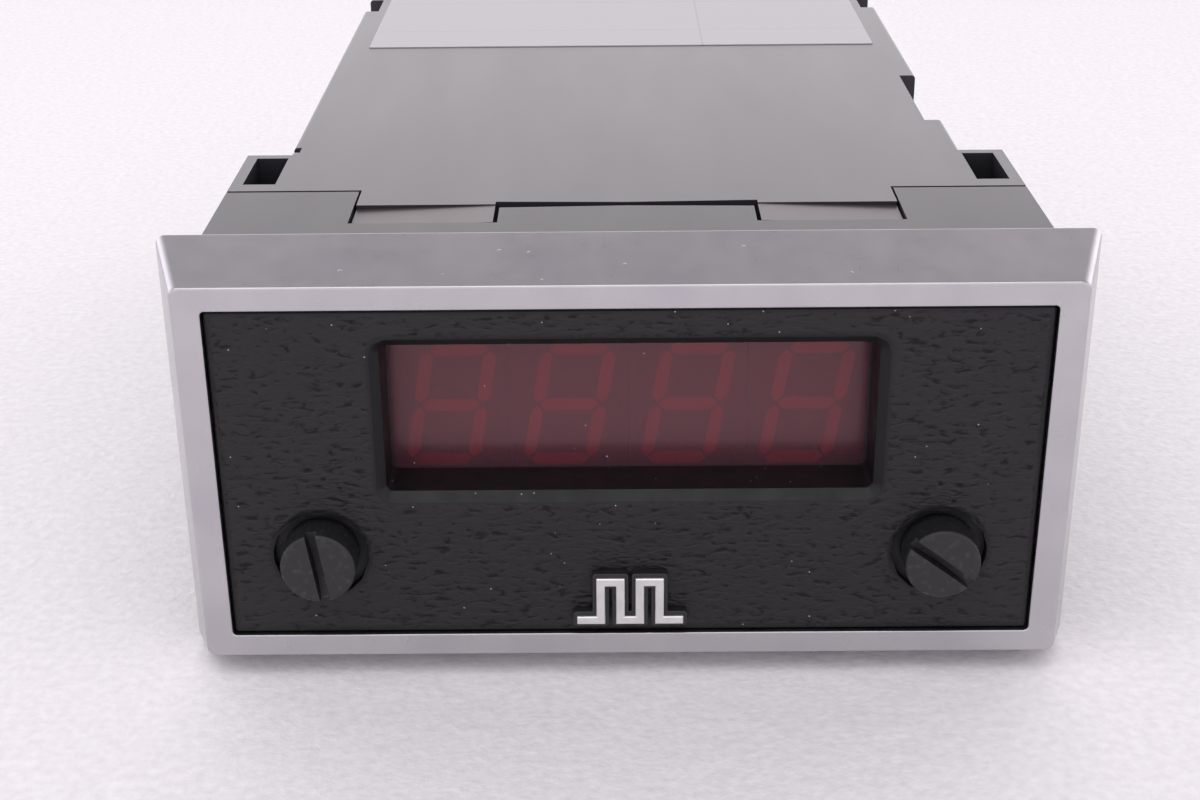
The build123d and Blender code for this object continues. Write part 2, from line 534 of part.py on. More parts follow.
WIDE_ROW, NARROW_ROW = 15.24, 7.62
COUNTER_X, COUNTER_DEPTH, COUNTER_PINS = -22.0, 58.0, 40
SOCKET_HALF_W, SOCKET_INNER, SOCKET_END, SOCKET_H = 8.8, 5.2, 2.4, 3.6
with BuildPart() as counter_socket:
    half, standing = COUNTER_PINS * PIN_PITCH / 4, (BOARD_TOP, BOARD_TOP + SOCKET_H)
    block((COUNTER_X - SOCKET_HALF_W, COUNTER_X + SOCKET_HALF_W),
          (COUNTER_DEPTH - half, COUNTER_DEPTH + half), standing)
    half -= SOCKET_END
    block((COUNTER_X - SOCKET_INNER, COUNTER_X + SOCKET_INNER),
          (COUNTER_DEPTH - half, COUNTER_DEPTH + half), standing, Mode.SUBTRACT)
save(counter_socket, "counter_socket")

with BuildPart() as counter_circuit:
    dual_in_line(COUNTER_X, COUNTER_DEPTH, COUNTER_PINS, WIDE_ROW, BOARD_TOP + SOCKET_H)
save(counter_circuit, "counter_circuit")

with BuildPart() as processor_circuit:
    dual_in_line(0, 50, 28, WIDE_ROW, BOARD_TOP)
save(processor_circuit, "processor_circuit")

with BuildPart() as logic_circuits:
    for x, depth, pins in ((17, 38, 16), (30, 38, 16), (17, 55, 8)):
        dual_in_line(x, depth, pins, NARROW_ROW, BOARD_TOP)
save(logic_circuits, "logic_circuits")

CRYSTAL_X, CRYSTAL_DEPTH = 29.0, 56.0
CAN_W, CAN_T, CAN_H, CAN_EDGE_R = 10.2, 3.8, 12.2, 0.5
FLANGE_W, FLANGE_T, FLANGE_UP, FLANGE_H = 11.0, 4.6, 0.8, 0.5
LEAD_APART, LEAD_R = 4.8, 0.25
with BuildPart() as crystal:
    with BuildSketch(level(BOARD_TOP + FLANGE_UP)):
        with Locations((CRYSTAL_X, CRYSTAL_DEPTH)):
            SlotOverall(FLANGE_W, FLANGE_T)
    extrude(amount=FLANGE_H)
    with BuildSketch(level(BOARD_TOP + FLANGE_UP + FLANGE_H)):
        with Locations((CRYSTAL_X, CRYSTAL_DEPTH)):
            SlotOverall(CAN_W, CAN_T)
    extrude(amount=CAN_H)
    fillet(crystal.faces().sort_by(Axis.Z)[-1].edges(), CAN_EDGE_R)
    for x in ways(CRYSTAL_X, LEAD_APART, 2):
        post(x, CRYSTAL_DEPTH, (BOARD_TOP, BOARD_TOP + FLANGE_UP), LEAD_R)
save(crystal, "crystal")

# Transformer: laminated core on a base, with the winding round its middle limb.
CORE_X, CORE_UP = -20.0, 1.5
CORE_FRONT, CORE_BACK = 98.0, 114.0
CORE_W, CORE_H = 32.0, 27.0
CORE_WINDOW_X, CORE_WINDOW_W, CORE_WINDOW_H = 8.0, 5.4, 16.0
BASE_OUT = 4.0                          # how far the base reaches in front of and behind the core
COIL_W, COIL_DEPTH, COIL_H, COIL_R = 21.0, 26.4, 15.6, 3.0
COIL_HOLE_W, COIL_HOLE_DEPTH = 10.8, 16.2
with BuildPart() as transformer_base:
    block((CORE_X - CORE_W / 2, CORE_X + CORE_W / 2), (CORE_FRONT - BASE_OUT, CORE_BACK + BASE_OUT),
          (BOARD_TOP, CORE_UP - CORE_H / 2))
save(transformer_base, "transformer_base")

with BuildPart() as transformer_core:
    with BuildSketch(facing(CORE_BACK)):
        with Locations((CORE_X, CORE_UP)):
            Rectangle(CORE_W, CORE_H)
        with Locations((CORE_X - CORE_WINDOW_X, CORE_UP), (CORE_X + CORE_WINDOW_X, CORE_UP)):
            Rectangle(CORE_WINDOW_W, CORE_WINDOW_H, mode=Mode.SUBTRACT)
    extrude(amount=CORE_BACK - CORE_FRONT)
save(transformer_core, "transformer_core")

with BuildPart() as transformer_winding:
    with BuildSketch(level(CORE_UP - COIL_H / 2)):
        with Locations((CORE_X, (CORE_FRONT + CORE_BACK) / 2)):
            RectangleRounded(COIL_W, COIL_DEPTH, COIL_R)
            Rectangle(COIL_HOLE_W, COIL_HOLE_DEPTH, mode=Mode.SUBTRACT)
    extrude(amount=COIL_H)
save(transformer_winding, "transformer_winding")

RECTIFIER_X, RECTIFIER_DEPTH, RECTIFIER_H = (4.0, 12.6), (84.0, 90.5), 3.4
with BuildPart() as bridge_rectifier:
    block(RECTIFIER_X, RECTIFIER_DEPTH, (BOARD_TOP, BOARD_TOP + RECTIFIER_H))
save(bridge_rectifier, "bridge_rectifier")

# Filter capacitors: name, place, radius and height. Each has a crimp near its foot.
CAPACITORS = (("large", 20, 107, 8.0, 25.0), ("small", 22, 91, 5.0, 16.0))
CRIMP_UP, CRIMP_H, CRIMP_DEPTH, RIM_R = 2.0, 1.0, 0.5, 0.8
for size, x, depth, radius, height in CAPACITORS:
    with BuildPart() as capacitor:
        post(x, depth, (BOARD_TOP, BOARD_TOP + height), radius)
        fillet(capacitor.faces().sort_by(Axis.Z)[-1].edges(), RIM_R)
        with BuildSketch(level(BOARD_TOP + CRIMP_UP)):
            with Locations((x, depth)):
                Circle(radius + CRIMP_DEPTH)
                Circle(radius - CRIMP_DEPTH, mode=Mode.SUBTRACT)
        extrude(amount=CRIMP_H, mode=Mode.SUBTRACT)
    save(capacitor, f"filter_capacitor_{size}")

# Regulator bolted to an upright heat sink.
SINK_X, SINK_FRONT, SINK_T, SINK_TOP = 22.0, 71.0, 1.6, 11.0
SINK_HALF_W, FIN_T, FIN_BACK = 12.0, 0.6, SINK_FRONT + 11.0
FINS_X = (4.6, 8.0, SINK_HALF_W)        # outer faces of the fins, either side of the middle
BOLT_UP, BOLT_R = 2.5, 1.5
with BuildPart() as heat_sink:
    block((SINK_X - SINK_HALF_W, SINK_X + SINK_HALF_W), (SINK_FRONT, SINK_FRONT + SINK_T),
          (BOARD_TOP, SINK_TOP))
    for outer in FINS_X:
        for left, right in both((outer - FIN_T, outer)):
            block((SINK_X + left, SINK_X + right), (SINK_FRONT + SINK_T, FIN_BACK), (BOARD_TOP, SINK_TOP))
    rod(SINK_X, BOLT_UP, (SINK_FRONT, SINK_FRONT + SINK_T), BOLT_R + 0.1, Mode.SUBTRACT)
save(heat_sink, "heat_sink")

REGULATOR_HALF_W, REGULATOR_T, TAB_T = 5.0, 4.4, 1.3
REGULATOR_BOTTOM, TAB_BOTTOM, TAB_TOP = -10.0, -1.0, 5.6
TAB_HOLE_R = 1.8
REGULATOR_LEG_HALF_W, REGULATOR_LEG_DEPTH = 0.4, (SINK_FRONT - 2.6, SINK_FRONT - 2.1)
with BuildPart() as regulator:
    body_x = (SINK_X - REGULATOR_HALF_W, SINK_X + REGULATOR_HALF_W)
    block(body_x, (SINK_FRONT - REGULATOR_T, SINK_FRONT), (REGULATOR_BOTTOM, TAB_BOTTOM))
    block(body_x, (SINK_FRONT - TAB_T, SINK_FRONT), (TAB_BOTTOM, TAB_TOP))
    rod(SINK_X, BOLT_UP, (SINK_FRONT - TAB_T, SINK_FRONT), TAB_HOLE_R, Mode.SUBTRACT)
    for x in ways(SINK_X, PIN_PITCH, 3):
        block((x - REGULATOR_LEG_HALF_W, x + REGULATOR_LEG_HALF_W), REGULATOR_LEG_DEPTH,
              (BOARD_TOP, REGULATOR_BOTTOM))
save(regulator, "regulator")

BOLT_HEAD_R, BOLT_HEAD_T, BOLT_BACK = 2.8, 2.2, SINK_FRONT + 5.0
BOLT_SLOT_HALF_W, BOLT_SLOT_HALF_H, BOLT_SLOT_DEPTH = 2.3, 0.35, 1.1
with BuildPart() as regulator_screw:
    head_back = SINK_FRONT - TAB_T
    head_front = head_back - BOLT_HEAD_T
    rod(SINK_X, BOLT_UP, (head_back, BOLT_BACK), BOLT_R)
    rod(SINK_X, BOLT_UP, (head_front, head_back), BOLT_HEAD_R)
    block((SINK_X - BOLT_SLOT_HALF_W, SINK_X + BOLT_SLOT_HALF_W), (head_front, head_front + BOLT_SLOT_DEPTH),
          (BOLT_UP - BOLT_SLOT_HALF_H, BOLT_UP + BOLT_SLOT_HALF_H), Mode.SUBTRACT)
save(regulator_screw, "regulator_screw")

NUT_T, NUT_R = 2.4, 3.0
with BuildPart() as regulator_nut:
    with BuildSketch(facing(SINK_FRONT + SINK_T + NUT_T)):
        with Locations((SINK_X, BOLT_UP)):
            RegularPolygon(NUT_R, 6)
            Circle(BOLT_R, mode=Mode.SUBTRACT)
    extrude(amount=NUT_T)
save(regulator_nut, "regulator_nut")

# Fuse in its two clips.
FUSE_X, FUSE_UP, FUSE_R = 4.0, -9.0, 2.6
FUSE_FRONT, FUSE_BACK, CAP_LENGTH, CAP_T = 97.0, 117.0, 5.0, 0.25
FUSE_CLIP_HALF_W, FUSE_CLIP_T, FUSE_CLIP_TOP, FUSE_CLIP_LENGTH = 3.2, 0.6, -6.6, 3.5
with BuildPart() as fuse:
    rod(FUSE_X, FUSE_UP, (FUSE_FRONT, FUSE_BACK), FUSE_R - CAP_T)
    for front in (FUSE_FRONT, FUSE_BACK - CAP_LENGTH):
        rod(FUSE_X, FUSE_UP, (front, front + CAP_LENGTH), FUSE_R)
save(fuse, "fuse")

with BuildPart() as fuse_clips:
    inner = FUSE_CLIP_HALF_W - FUSE_CLIP_T
    for front in (FUSE_FRONT + 1, FUSE_BACK - 1 - FUSE_CLIP_LENGTH):
        length = (front, front + FUSE_CLIP_LENGTH)
        block((FUSE_X - FUSE_CLIP_HALF_W, FUSE_X + FUSE_CLIP_HALF_W), length, (BOARD_TOP, FUSE_CLIP_TOP))
        block((FUSE_X - inner, FUSE_X + inner), length, (BOARD_TOP + FUSE_CLIP_T, FUSE_CLIP_TOP),
              Mode.SUBTRACT)
save(fuse_clips, "fuse_clips")

RESISTOR_UP, RESISTOR_R, RESISTOR_LENGTH = BOARD_TOP + 1.6, 1.15, 6.3
LEG_APART, WIRE_R = 9.0, 0.3
with BuildPart() as resistors:
    for x in (-8.0, 4.0):
        reach = LEG_APART / 2 + WIRE_R
        for depth in range(73, 82, 3):
            for leg in ways(x, LEG_APART, 2):
                post(leg, depth, (BOARD_TOP, RESISTOR_UP), WIRE_R)
            block((x - reach, x + reach), (depth - WIRE_R, depth + WIRE_R),
                  (RESISTOR_UP - WIRE_R, RESISTOR_UP + WIRE_R))
            with Locations(Location((x, RIM_Y + depth, MID_Z + RESISTOR_UP), (0, 90, 0))):
                Cylinder(RESISTOR_R, RESISTOR_LENGTH)
save(resistors, "resistors")

CERAMIC_HALF_W, CERAMIC_HALF_T, CERAMIC_H, CERAMIC_EDGE_R = 2.5, 1.3, 5.5, 0.6
with BuildPart() as ceramic_capacitors:
    for x, depth in ((17, 26), (30, 26), (0, 29), (17, 62.5), (10.5, 45)):
        block((x - CERAMIC_HALF_W, x + CERAMIC_HALF_W), (depth - CERAMIC_HALF_T, depth + CERAMIC_HALF_T),
              (BOARD_TOP, BOARD_TOP + CERAMIC_H))
    fillet(ceramic_capacitors.edges().filter_by(Axis.Z), CERAMIC_EDGE_R)
save(ceramic_capacitors, "ceramic_capacitors")
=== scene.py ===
import json
import math

import bmesh
import bpy
from mathutils import Matrix, Vector
from mathutils.geometry import delaunay_2d_cdt

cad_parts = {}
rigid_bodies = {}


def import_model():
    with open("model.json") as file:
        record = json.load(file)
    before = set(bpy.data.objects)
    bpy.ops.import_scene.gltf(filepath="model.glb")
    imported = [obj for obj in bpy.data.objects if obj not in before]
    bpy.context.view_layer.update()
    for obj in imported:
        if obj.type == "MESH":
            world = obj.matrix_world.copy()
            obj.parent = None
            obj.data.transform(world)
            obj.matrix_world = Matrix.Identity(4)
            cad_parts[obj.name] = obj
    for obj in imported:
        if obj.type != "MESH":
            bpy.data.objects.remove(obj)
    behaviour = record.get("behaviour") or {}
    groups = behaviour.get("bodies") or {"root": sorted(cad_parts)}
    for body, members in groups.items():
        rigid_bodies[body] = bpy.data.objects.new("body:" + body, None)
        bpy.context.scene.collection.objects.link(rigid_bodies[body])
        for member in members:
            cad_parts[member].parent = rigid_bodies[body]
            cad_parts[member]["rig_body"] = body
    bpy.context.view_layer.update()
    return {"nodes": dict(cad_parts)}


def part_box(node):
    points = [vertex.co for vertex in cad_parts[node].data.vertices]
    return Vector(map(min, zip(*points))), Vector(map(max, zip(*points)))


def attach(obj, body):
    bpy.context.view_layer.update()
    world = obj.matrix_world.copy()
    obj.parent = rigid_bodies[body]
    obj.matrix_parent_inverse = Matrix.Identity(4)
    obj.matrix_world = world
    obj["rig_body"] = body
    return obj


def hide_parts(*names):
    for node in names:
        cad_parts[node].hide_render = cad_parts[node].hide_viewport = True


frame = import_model()

# A panel-mounted frequency counter. Metres; X to the right, Y from the front to the back, Z up.
MM = 0.001
bpy.context.scene.view_settings.view_transform = "Standard"

# ---------------------------------------------------------------- places read from the frame
bezel_low, bezel_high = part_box("bezel_frame")
panel_low, panel_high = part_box("front_panel")
cover_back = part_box("rear_cover")[1].y
core_low, core_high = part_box("transformer_core")
RIM = bezel_low.y
MID = (bezel_low.z + bezel_high.z) / 2


# ---------------------------------------------------------------- material aids
def linear(hex_colour):
    """sRGB hex to the linear red, green, blue and alpha that shaders use."""
    parts = [int(hex_colour[i:i + 2], 16) / 255 for i in (1, 3, 5)]
    return [c / 12.92 if c <= 0.04045 else ((c + 0.055) / 1.055) ** 2.4 for c in parts] + [1.0]


def node(tree, kind, inputs=None, links=None, **settings):
    """Adds one node: its settings, its plain input values, and links into it from other sockets."""
    made = tree.nodes.new(kind)
    for name, value in settings.items():
        setattr(made, name, value)
    for socket, value in (inputs or {}).items():
        made.inputs[socket].default_value = value
    for socket, source in (links or {}).items():
        tree.links.new(source, made.inputs[socket])
    return made


def finish_of(name, **values):
    """A new material with its shader's own sockets set; gives the material, its tree and its shader."""
    material = bpy.data.materials.new(name)
    material.use_nodes = True
    tree = material.node_tree
    shader = tree.nodes["Principled BSDF"]
    for socket, value in values.items():
        shader.inputs[socket.replace("_", " ")].default_value = value
    return material, tree, shader


def place(tree, scale=(1, 1, 1)):
    """Object coordinates in millimetres, stretched by scale."""
    where = node(tree, "ShaderNodeTexCoord")
    return node(tree, "ShaderNodeMapping", {"Scale": [s / MM for s in scale]},
                {"Vector": where.outputs["Object"]}).outputs["Vector"]


def noise_of(tree, where, size, detail=3.0, roughness=0.5, distortion=0.0):
    """Soft noise with features about size millimetres across."""
    return node(tree, "ShaderNodeTexNoise",
                {"Scale": 1 / size, "Detail": detail, "Roughness": roughness, "Distortion": distortion},
                {"Vector": where}).outputs["Fac"]


def spread(tree, value, low, high):
    """Turns a 0 to 1 pattern into the range low to high."""
    return node(tree, "ShaderNodeMapRange", {"From Min": 0.3, "From Max": 0.7, "To Min": low, "To Max": high},
                {"Value": value}).outputs["Result"]


def blend(tree, factor, first, second):
    """A colour that goes from the first to the second as factor goes from 0 to 1; each is hex or a socket."""
    mix = node(tree, "ShaderNodeMix", data_type="RGBA")
    for index, colour in ((6, first), (7, second)):
        if isinstance(colour, str):
            mix.inputs[index].default_value = linear(colour)
        else:
            tree.links.new(colour, mix.inputs[index])
    tree.links.new(factor, mix.inputs[0])
    return mix.outputs[2]


def specks(tree, where, apart, reach):
    """1 on scattered small spots, up to reach millimetres from their middle; apart sets how rare they are."""
    distance = node(tree, "ShaderNodeTexVoronoi", {"Scale": 1 / apart},
                    {"Vector": where}).outputs["Distance"]
    return node(tree, "ShaderNodeMapRange", {"From Min": reach / apart, "From Max": 0.7 * reach / apart},
                {"Value": distance}).outputs["Result"]


def bump(tree, shader, height, depth, strength=1.0, base=None):
    """Bump of that depth in millimetres, over an earlier bump if there is one."""
    made = node(tree, "ShaderNodeBump", {"Strength": strength, "Distance": depth * MM}, {"Height": height})
    if base is not None:
        tree.links.new(base.outputs["Normal"], made.inputs["Normal"])
    tree.links.new(made.outputs["Normal"], shader.inputs["Normal"])
    return made


# ---------------------------------------------------------------- materials
def satin_die_casting():
    """Nickel-plated zinc die casting: soft wide reflections, a faint cast skin and a few dings."""
    made, tree, shader = finish_of("satin_nickel_die_casting", Metallic=1.0)
    where = place(tree)
    tree.links.new(spread(tree, noise_of(tree, where, 2.2, 4), 0.27, 0.33), shader.inputs["Roughness"])
    tree.links.new(blend(tree, spread(tree, noise_of(tree, where, 9, 4), 0, 1), "#B7B4BA", "#C1BEC2"),
                   shader.inputs["Base Color"])
    skin = bump(tree, shader, noise_of(tree, where, 0.5, 2), 0.004)
    bump(tree, shader, specks(tree, where, 3.2, 0.22), 0.02, base=skin)
    return made


GRAIN_RIPPLE = (1.5, 0.55)          # length and height of one ripple of the panel's grain, in millimetres
GRAIN_SEED = 4.0
GRAIN_NOISE = {"Scale": 1.0, "Detail": 2.0, "Roughness": 0.5, "Distortion": 0.8}


def hollows_of(tree, ripple):
    """How far the grain is sunk, 0 to 1: only where its ripple pattern is lowest."""
    return node(tree, "ShaderNodeMapRange", {"From Min": 0.47, "From Max": 0.31}, {"Value": ripple},
                interpolation_type="SMOOTHSTEP").outputs["Result"]


def grained_panel():
    """Black ABS moulded against an etched leather grain: charcoal and a little dusty, with painted shade in
    the hollows and on the faces round the grain.
    """
    made, tree, shader = finish_of("black_abs_leather_grain", IOR=1.41)
    where = place(tree)
    spot = place(tree, (1 / GRAIN_RIPPLE[0], 1 / GRAIN_RIPPLE[0], 1 / GRAIN_RIPPLE[1]))
    ripple = node(tree, "ShaderNodeTexNoise", {**GRAIN_NOISE, "W": GRAIN_SEED}, {"Vector": spot},
                  noise_dimensions="4D").outputs["Fac"]
    fade = node(tree, "ShaderNodeAttribute", attribute_name="fade").outputs["Fac"]
    hollow_shade = node(tree, "ShaderNodeMath", links={0: hollows_of(tree, ripple), 1: fade},
                  operation="MULTIPLY").outputs[0]
    # Painted shade: the colour darkens in the grain's hollows and is darkest where fade is 0, on the window's
    # chamfers and tunnel, the screw recesses and the panel's edges; the hollows also reflect less.
    skin = blend(tree, hollow_shade, blend(tree, fade, "#0C0B0E", "#19171B"), "#111013")
    tree.links.new(blend(tree, specks(tree, where, 2.0, 0.09), skin, "#A09CA2"), shader.inputs["Base Color"])
    tree.links.new(node(tree, "ShaderNodeMapRange", {"To Min": 0.5, "To Max": 0.25}, {"Value": hollow_shade})
                   .outputs["Result"], shader.inputs["Specular IOR Level"])
    tree.links.new(spread(tree, noise_of(tree, where, 3, 3), 0.40, 0.54), shader.inputs["Roughness"])
    pores = bump(tree, shader, noise_of(tree, where, 0.2, 2), 0.008)
    relief = node(tree, "ShaderNodeMath", links={0: ripple, 1: fade}, operation="MULTIPLY").outputs[0]
    bump(tree, shader, relief, 0.22, base=pores)
    return made


def case_moulding(name, dark, light, roughness):
    """Black ABS moulded in a polished steel tool: satin, takes a wide pale sheen at a low angle."""
    made, tree, shader = finish_of(name, IOR=1.52)
    patches = noise_of(tree, place(tree, (1, 0.3, 1)), 16, 2)
    tree.links.new(blend(tree, spread(tree, patches, 0, 1), dark, light), shader.inputs["Base Color"])
    tree.links.new(spread(tree, noise_of(tree, place(tree, (1, 0.2, 1)), 7, 3), roughness, roughness + 0.02),
                   shader.inputs["Roughness"])
    bump(tree, shader, noise_of(tree, place(tree), 0.3, 2), 0.003)
    return made


def screw_moulding():
    """Black glass-filled nylon: dull, with shiny rubbed spots where a coin has slipped."""
    made, tree, shader = finish_of("black_nylon_moulding", IOR=1.5)
    where = place(tree)
    rubbed = node(tree, "ShaderNodeMapRange", {"From Min": 0.56, "From Max": 0.66},
                  {"Value": noise_of(tree, where, 0.8, 3)}).outputs["Result"]
    tree.links.new(blend(tree, rubbed, "#19181A", "#2B2A2D"), shader.inputs["Base Color"])
    tree.links.new(node(tree, "ShaderNodeMapRange", {"To Min": 0.50, "To Max": 0.22}, {"Value": rubbed})
                   .outputs["Result"], shader.inputs["Roughness"])
    bump(tree, shader, noise_of(tree, where, 0.4, 3), 0.012)
    return made


def red_acrylic():
    """Dark red cast acrylic sheet: lets only red through, and a film of dust veils the figures behind it."""
    made, tree, shader = finish_of("red_cast_acrylic", IOR=1.49, Specular_IOR_Level=0.15, Sheen_Weight=0.2,
                                   Sheen_Roughness=0.8, Sheen_Tint=linear("#E2C8E6"))
    where = place(tree)
    dust = specks(tree, where, 2.6, 0.1)
    tree.links.new(blend(tree, dust, "#DC4054", "#B59AA0"), shader.inputs["Base Color"])
    tree.links.new(node(tree, "ShaderNodeMath", {0: 1.0}, {1: dust}, operation="SUBTRACT").outputs[0],
                   shader.inputs["Transmission Weight"])
    tree.links.new(spread(tree, noise_of(tree, where, 5, 3), 0.18, 0.24), shader.inputs["Roughness"])
    bump(tree, shader, noise_of(tree, where, 8, 2), 0.006)
    return made


def plain_finish(name, first, second, low, high, size=1.5, depth=0.01, **values):
    """A small part's finish: two close tones, a range of roughness and a slight unevenness."""
    made, tree, shader = finish_of(name, **values)
    where = place(tree)
    tree.links.new(blend(tree, spread(tree, noise_of(tree, where, size, 3), 0, 1), first, second),
                   shader.inputs["Base Color"])
    tree.links.new(spread(tree, noise_of(tree, where, size / 3, 2), low, high), shader.inputs["Roughness"])
    bump(tree, shader, noise_of(tree, where, size / 2, 2), depth)
    return made


def circuit_laminate(name, turn):
    """Epoxy glass board under green solder mask: paler lines where copper tracks run beneath it."""
    made, tree, shader = finish_of(name, Roughness=0.32)
    where = node(tree, "ShaderNodeTexCoord").outputs["Object"]
    flat = node(tree, "ShaderNodeMapping", {"Rotation": (turn, 0, 0), "Scale": [1 / MM] * 3},
                {"Vector": where})
    tracks = node(tree, "ShaderNodeTexBrick",
                  {"Scale": 1.0, "Mortar Size": 0.32, "Mortar Smooth": 0.15, "Brick Width": 21.0,
                   "Row Height": 1.9, "Color1": linear("#1C5531"), "Color2": linear("#1F5A34"),
                   "Mortar": linear("#2E7A48")}, {"Vector": flat.outputs["Vector"]}, offset=0.37)
    tree.links.new(tracks.outputs["Color"], shader.inputs["Base Color"])
    bump(tree, shader, tracks.outputs["Fac"], 0.035)
    return made


LABEL_RULES = (("Y", 9.5, 34.4), ("X", 36.0, 12.0))    # axis, spacing and first rule, in millimetres
RULE_WIDTH = 0.24


def ruled_foil():
    """Grey polyester label foil, blank but for thin faint printed rules; satin, a little brushed."""
    made, tree, shader = finish_of("printed_polyester_foil", Roughness=0.5)
    where = node(tree, "ShaderNodeTexCoord").outputs["Object"]
    axes = node(tree, "ShaderNodeSeparateXYZ", links={"Vector": where}).outputs
    lines = []
    for axis, pitch, start in LABEL_RULES:
        steps = node(tree, "ShaderNodeMath", {1: -start * MM}, {0: axes[axis]}, operation="ADD").outputs[0]
        wrapped = node(tree, "ShaderNodeMath", {1: pitch * MM}, {0: steps}, operation="PINGPONG").outputs[0]
        lines.append(node(tree, "ShaderNodeMath", {1: RULE_WIDTH / 2 * MM}, {0: wrapped},
                          operation="LESS_THAN").outputs[0])
    ink = node(tree, "ShaderNodeMath", links={0: lines[0], 1: lines[1]}, operation="MAXIMUM").outputs[0]
    tree.links.new(blend(tree, ink, "#ACAAAF", "#9C9A9F"), shader.inputs["Base Color"])
    bump(tree, shader, noise_of(tree, place(tree, (0.1, 1, 1)), 0.4, 3), 0.004)
    return made


def foam_floor():
    """White polyethylene foam sheet: a pale, slightly pebbled skin."""
    made, tree, shader = finish_of("white_foam_sheet", Roughness=0.6)
    where = place(tree)
    tree.links.new(blend(tree, spread(tree, noise_of(tree, where, 1.2, 4), 0, 1), "#E9E6E9", "#F4F2F5"),
                   shader.inputs["Base Color"])
    skin = bump(tree, shader, noise_of(tree, where, 0.8, 3), 0.10)
    bump(tree, shader, noise_of(tree, where, 5, 2), 0.25, base=skin)
    return made


# The long case: a neutral black that greys evenly where it faces the light.
CASE_BLACK = case_moulding("black_abs_moulding", "#27262B", "#29282D", 0.34)
# The housing comes from another tool: a little darker and duller than the case.
HOUSING_BLACK = case_moulding("black_abs_housing_moulding", "#242328", "#26252A", 0.40)
# Tongue tips: the same plastic, a little duller, in a lighter brownish grey that is a painted sheen.
TIP_PAINTED_SHEEN = case_moulding("black_abs_scuffed_moulding", "#41393B", "#473E40", 0.38)
SATIN_METAL = satin_die_casting()
GRAIN = grained_panel()
SCREW_BLACK = screw_moulding()
FILTER_RED = red_acrylic()
LABEL = ruled_foil()
# Smooth moulded ABS: an even black with a soft highlight.
SMOOTH_BLACK = plain_finish("black_abs_smooth", "#19181A", "#1F1E21", 0.35, 0.5)
# Foil pressed on a raised mark: bright, nearly white, slightly clouded.
BADGE_SILVER = plain_finish("satin_silver_foil", "#D8D7D6", "#E6E5E4", 0.28, 0.4, Metallic=0.9)
# The same board twice: lying flat, and upright behind the figures.
BOARD_FLAT = circuit_laminate("green_masked_laminate_flat", 0)
BOARD_UPRIGHT = circuit_laminate("green_masked_laminate_upright", math.pi / 2)
# Moulded digit blocks: a warm dull grey, only just visible through the filter.
DIGIT_FACE = plain_finish("grey_moulded_digit_face", "#5C5050", "#605454", 0.45, 0.6)
# Light pipes with their lamps off: a milky dark red, a shade above the face.
UNLIT_RED = plain_finish("unlit_red_epoxy", "#954845", "#994C49", 0.35, 0.5)
# Screen-printed ink: flat off-white.
MARK_WHITE = plain_finish("white_screen_ink", "#D9D8D4", "#E2E1DD", 0.5, 0.6)
# Transfer-moulded epoxy: dull charcoal with a fine even pitting.
CHIP_EPOXY = plain_finish("black_moulded_epoxy", "#232323", "#2B2B2B", 0.5, 0.65, 0.6, 0.02)
# Zinc-plated steel: cool bright metal, lightly hazed.
BRIGHT_ZINC = plain_finish("bright_zinc_plate", "#C9C9C4", "#D6D6D0", 0.22, 0.36, Metallic=1.0)
# Rolled spring strip: darker grey metal with a soft gloss.
SPRING_STEEL = plain_finish("spring_steel_strip", "#A8A8A6", "#B6B6B3", 0.25, 0.4, Metallic=1.0)
# Turned brass: warm yellow metal with tight highlights.
TURNED_BRASS = plain_finish("turned_brass", "#C6A25A", "#D1AE66", 0.2, 0.32, Metallic=1.0)
# Moulded polyamide: deep green, satin.
TERMINAL_GREEN = plain_finish("green_polyamide_moulding", "#1D6B3A", "#237644", 0.36, 0.48)
# Moulded thermoplastic: clear mid blue, satin.
SWITCH_BLUE = plain_finish("blue_thermoplastic_moulding", "#1F4E9A", "#2456A6", 0.35, 0.45)
# Moulded nylon: creamy white, waxy.
NYLON_WHITE = plain_finish("white_nylon_moulding", "#E6E4DC", "#EEECE4", 0.35, 0.5)
# Drawn nickel silver: warm pale metal.
CAN_METAL = plain_finish("nickel_silver_can", "#B9B6AE", "#C5C2BA", 0.25, 0.36, Metallic=1.0)
# Varnished plate edges: dark blue-grey steel with an uneven gloss.
LAMINATIONS = plain_finish("varnished_steel_laminations", "#4B4B50", "#5A5A60", 0.35, 0.55, Metallic=0.7)
# Polyester tape: bright yellow, glossy.
WINDING_TAPE = plain_finish("yellow_polyester_tape", "#D3B03C", "#DDBC4A", 0.25, 0.4)
# Shrunk sleeve: very dark blue, glossy, with tight highlights.
SLEEVE_BLUE = plain_finish("dark_blue_shrink_sleeve", "#182344", "#1E2B52", 0.2, 0.32)
# Anodised aluminium: black with a metallic depth.
BLACK_ANODISED = plain_finish("black_anodised_extrusion", "#1B1B1D", "#232326", 0.4, 0.55, Metallic=0.4)
# Fired ceramic: chalky white, half glossy.
FUSE_BODY = plain_finish("fuse_ceramic_and_caps", "#D9D6CC", "#E3E0D6", 0.25, 0.4)
# Dipped lacquer: beige with a soft gloss.
RESISTOR_TAN = plain_finish("lacquered_resistor", "#C9A877", "#D3B384", 0.3, 0.42)
# Dipped phenolic: warm orange, slightly uneven.
CERAMIC_ORANGE = plain_finish("dipped_ceramic", "#C97E2A", "#D28A36", 0.35, 0.5)

